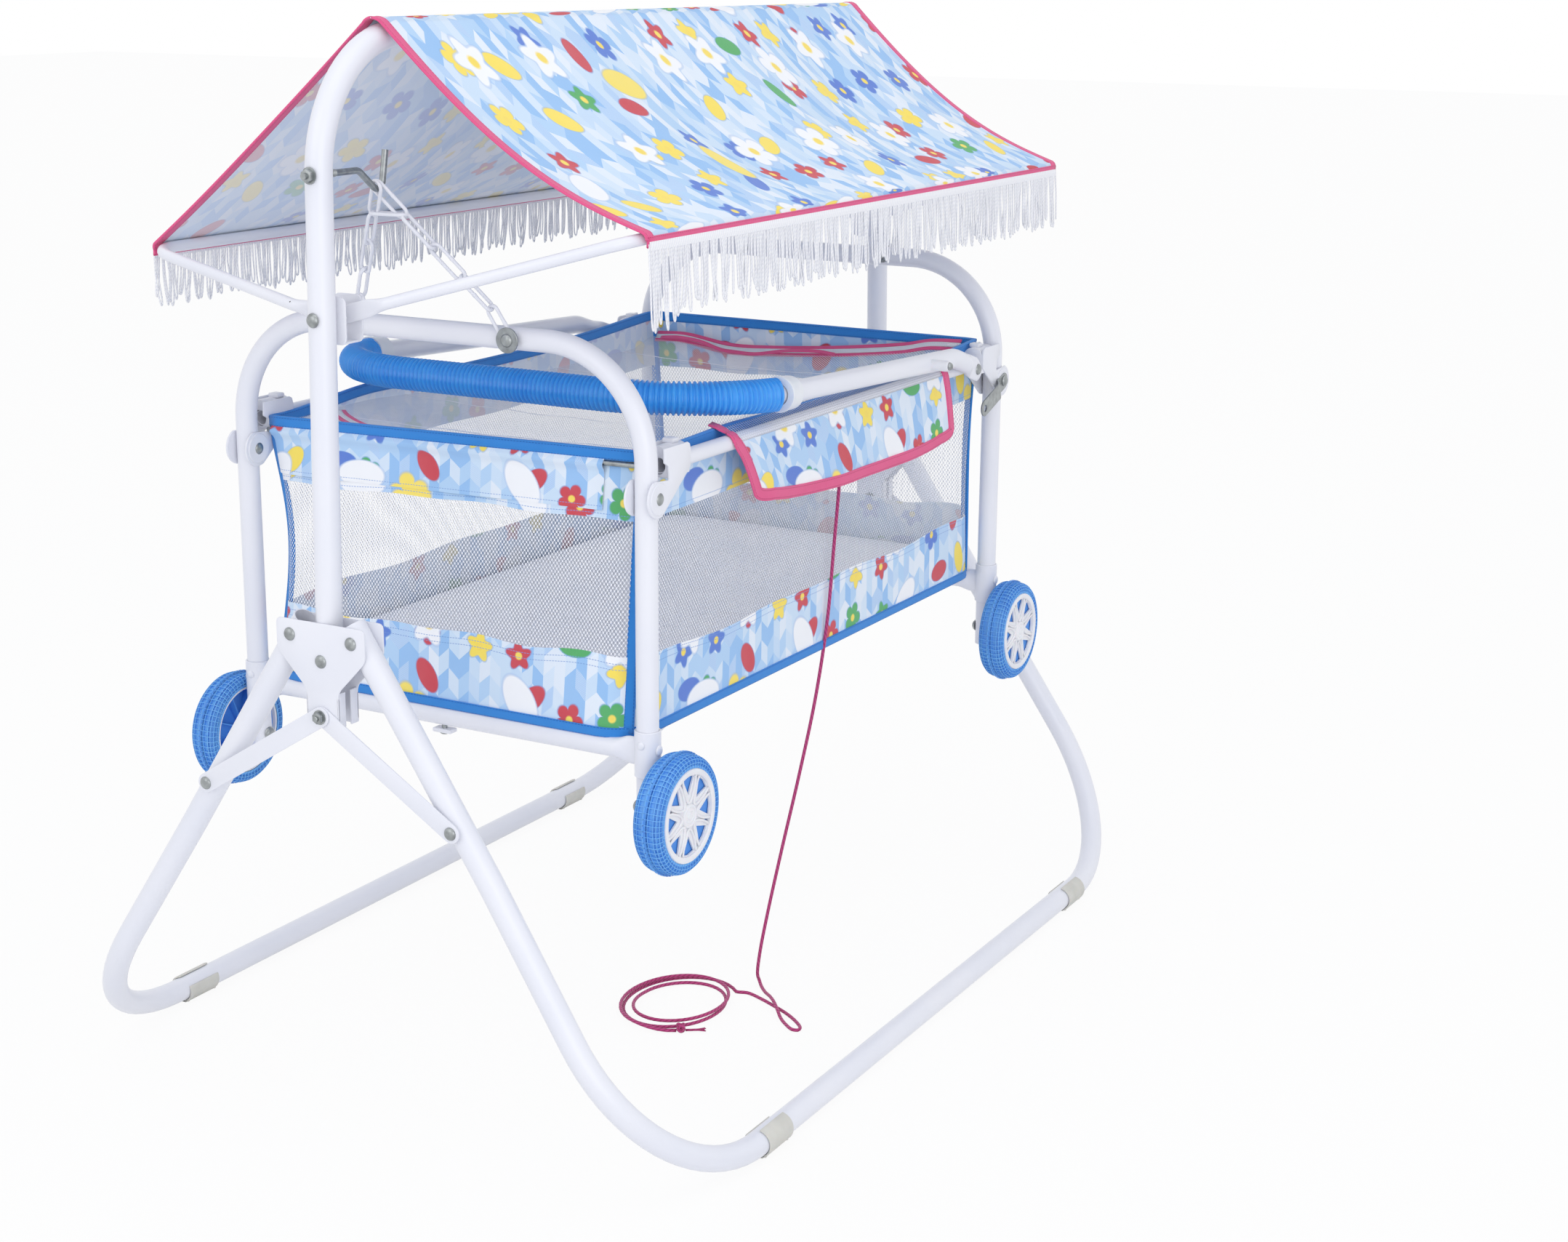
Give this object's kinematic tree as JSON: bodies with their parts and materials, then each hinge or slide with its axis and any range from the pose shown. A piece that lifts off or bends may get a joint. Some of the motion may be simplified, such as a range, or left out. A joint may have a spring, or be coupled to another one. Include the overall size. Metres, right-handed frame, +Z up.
{
  "type": "swing cradle",
  "caption": "Swing cradle: a soft-sided basket with mosquito net hung by chains from a folding tubular stand, with a pitched cloth canopy, wheels, carrying handle and pull cord.",
  "frame": {"origin": "on the floor under the middle of the stand", "axes": "+Z up, +X along the cradle's length away from the near end, -Y towards the side with the flap and the pull cord"},
  "size_m": [1.1918, 0.768, 1.0756],
  "materials": {
    "white_paint": "smooth white powder coat",
    "white_plastic": "moulded, satin",
    "clip_plastic": "moulded, greyish white",
    "zinc": "zinc plated",
    "grip_blue": "finely ribbed, a little glossy",
    "tyre_blue": "moulded foam plastic",
    "print_cloth": "printed woven cloth, pink and blue bindings",
    "white_fringe": "looped white cord",
    "white_net": "fine mosquito net",
    "mattress_cloth": "quilted cloth over soft filling",
    "pink_cord": "twisted cord"
  },
  "bodies": {
    "stand": {"overhead_tube": "white_paint", "hub_outer_near": "white_paint", "hub_outer_far": "white_paint", "hub_inner_near": "white_paint", "hub_inner_far": "white_paint", "hook_near": "zinc", "hook_far": "zinc", "wing_bracket_near": "white_paint", "wing_bracket_far": "white_paint", "canopy_panel_right": "print_cloth", "canopy_panel_left": "print_cloth", "cord_run": "pink_cord", "cord_coil": "pink_cord"},
    "leg_frame_right": {"leg_near_right": "white_paint", "leg_far_right": "white_paint", "floor_bar_right": "white_paint", "foot_clip_near_right": "clip_plastic", "foot_clip_far_right": "clip_plastic"},
    "leg_frame_left": {"leg_near_left": "white_paint", "leg_far_left": "white_paint", "floor_bar_left": "white_paint", "foot_clip_near_left": "clip_plastic", "foot_clip_far_left": "clip_plastic"},
    "brace_near_right": {"brace_near_right": "white_paint"},
    "brace_near_left": {"brace_near_left": "white_paint"},
    "brace_far_right": {"brace_far_right": "white_paint"},
    "brace_far_left": {"brace_far_left": "white_paint"},
    "wing_right": {"wing_tube_right": "white_paint", "fringe_right": "white_fringe"},
    "wing_left": {"wing_tube_left": "white_paint", "fringe_left": "white_fringe"},
    "cradle": {"arch_near": "white_paint", "arch_far": "white_paint", "end_bar_near": "white_paint", "end_bar_far": "white_paint", "band_rod_near": "zinc", "band_rod_far": "zinc", "chain_near": "white_paint", "chain_far": "white_paint", "rail_right": "white_paint", "rail_left": "white_paint", "rail_bracket_near_right": "white_plastic", "rail_bracket_near_left": "white_plastic", "rail_bracket_far_right": "white_plastic", "rail_bracket_far_left": "white_plastic", "basket": "print_cloth", "mattress": "mattress_cloth", "net_cover": "white_net", "side_flap": "print_cloth"},
    "wheel_near_right": {"wheel_rim_near_right": "white_plastic", "tyre_near_right": "tyre_blue"},
    "wheel_near_left": {"wheel_rim_near_left": "white_plastic", "tyre_near_left": "tyre_blue"},
    "wheel_far_right": {"wheel_rim_far_right": "white_plastic", "tyre_far_right": "tyre_blue"},
    "wheel_far_left": {"wheel_rim_far_left": "white_plastic", "tyre_far_left": "tyre_blue"},
    "handle": {"handle_tube": "white_paint", "handle_grip": "grip_blue"},
    "lock_link": {"lock_link": "zinc"}
  },
  "joints": [
    {"name": "leg_right_fold", "type": "hinge", "parent": "stand", "child": "leg_frame_right", "pos_m": [0, -0.036, 0.515], "axis": [1, 0, 0], "range_deg": [0, 30]},
    {"name": "leg_left_fold", "type": "hinge", "parent": "stand", "child": "leg_frame_left", "pos_m": [0, 0.036, 0.515], "axis": [-1, 0, 0], "range_deg": [0, 30]},
    {"name": "brace_near_right_turn", "type": "hinge", "parent": "stand", "child": "brace_near_right", "pos_m": [-0.583, 0, 0.44], "axis": [1, 0, 0], "range_deg": [0, 37]},
    {"name": "brace_near_left_turn", "type": "hinge", "parent": "stand", "child": "brace_near_left", "pos_m": [-0.583, 0, 0.44], "axis": [-1, 0, 0], "range_deg": [0, 37]},
    {"name": "brace_far_right_turn", "type": "hinge", "parent": "stand", "child": "brace_far_right", "pos_m": [0.583, 0, 0.44], "axis": [1, 0, 0], "range_deg": [0, 37]},
    {"name": "brace_far_left_turn", "type": "hinge", "parent": "stand", "child": "brace_far_left", "pos_m": [0.583, 0, 0.44], "axis": [-1, 0, 0], "range_deg": [0, 37]},
    {"name": "wing_right_lift", "type": "hinge", "parent": "stand", "child": "wing_right", "pos_m": [0, 0, 0.811], "axis": [-1, 0, 0], "range_deg": [0, 25], "deforming": ["canopy_panel_right"]},
    {"name": "wing_left_lift", "type": "hinge", "parent": "stand", "child": "wing_left", "pos_m": [0, 0, 0.811], "axis": [1, 0, 0], "range_deg": [0, 25], "deforming": ["canopy_panel_left"]},
    {"name": "cradle_swing", "type": "hinge", "parent": "stand", "child": "cradle", "pos_m": [0, 0, 0.9216], "axis": [1, 0, 0], "range_deg": [-12, 12], "deforming": ["cord_run"]},
    {"name": "wheel_near_right_spin", "type": "hinge", "parent": "cradle", "child": "wheel_near_right", "pos_m": [-0.392, -0.273, 0.335], "axis": [0, 1, 0], "continuous": true},
    {"name": "wheel_near_left_spin", "type": "hinge", "parent": "cradle", "child": "wheel_near_left", "pos_m": [-0.392, 0.273, 0.335], "axis": [0, 1, 0], "continuous": true},
    {"name": "wheel_far_right_spin", "type": "hinge", "parent": "cradle", "child": "wheel_far_right", "pos_m": [0.392, -0.273, 0.335], "axis": [0, 1, 0], "continuous": true},
    {"name": "wheel_far_left_spin", "type": "hinge", "parent": "cradle", "child": "wheel_far_left", "pos_m": [0.392, 0.273, 0.335], "axis": [0, 1, 0], "continuous": true},
    {"name": "handle_raise", "type": "hinge", "parent": "cradle", "child": "handle", "pos_m": [0.3195, 0, 0.6645], "axis": [0, 1, 0], "range_deg": [0, 12]},
    {"name": "lock_link_turn", "type": "hinge", "parent": "cradle", "child": "lock_link", "pos_m": [0.392, -0.259, 0.641], "axis": [0, 1, 0], "range_deg": [-50, 40]}
  ],
  "couplings": [
    {"joint": "brace_near_right_turn", "follows": "leg_right_fold", "ratio": 1.22},
    {"joint": "brace_near_left_turn", "follows": "leg_left_fold", "ratio": 1.22},
    {"joint": "brace_far_right_turn", "follows": "leg_right_fold", "ratio": 1.22},
    {"joint": "brace_far_left_turn", "follows": "leg_left_fold", "ratio": 1.22}
  ]
}
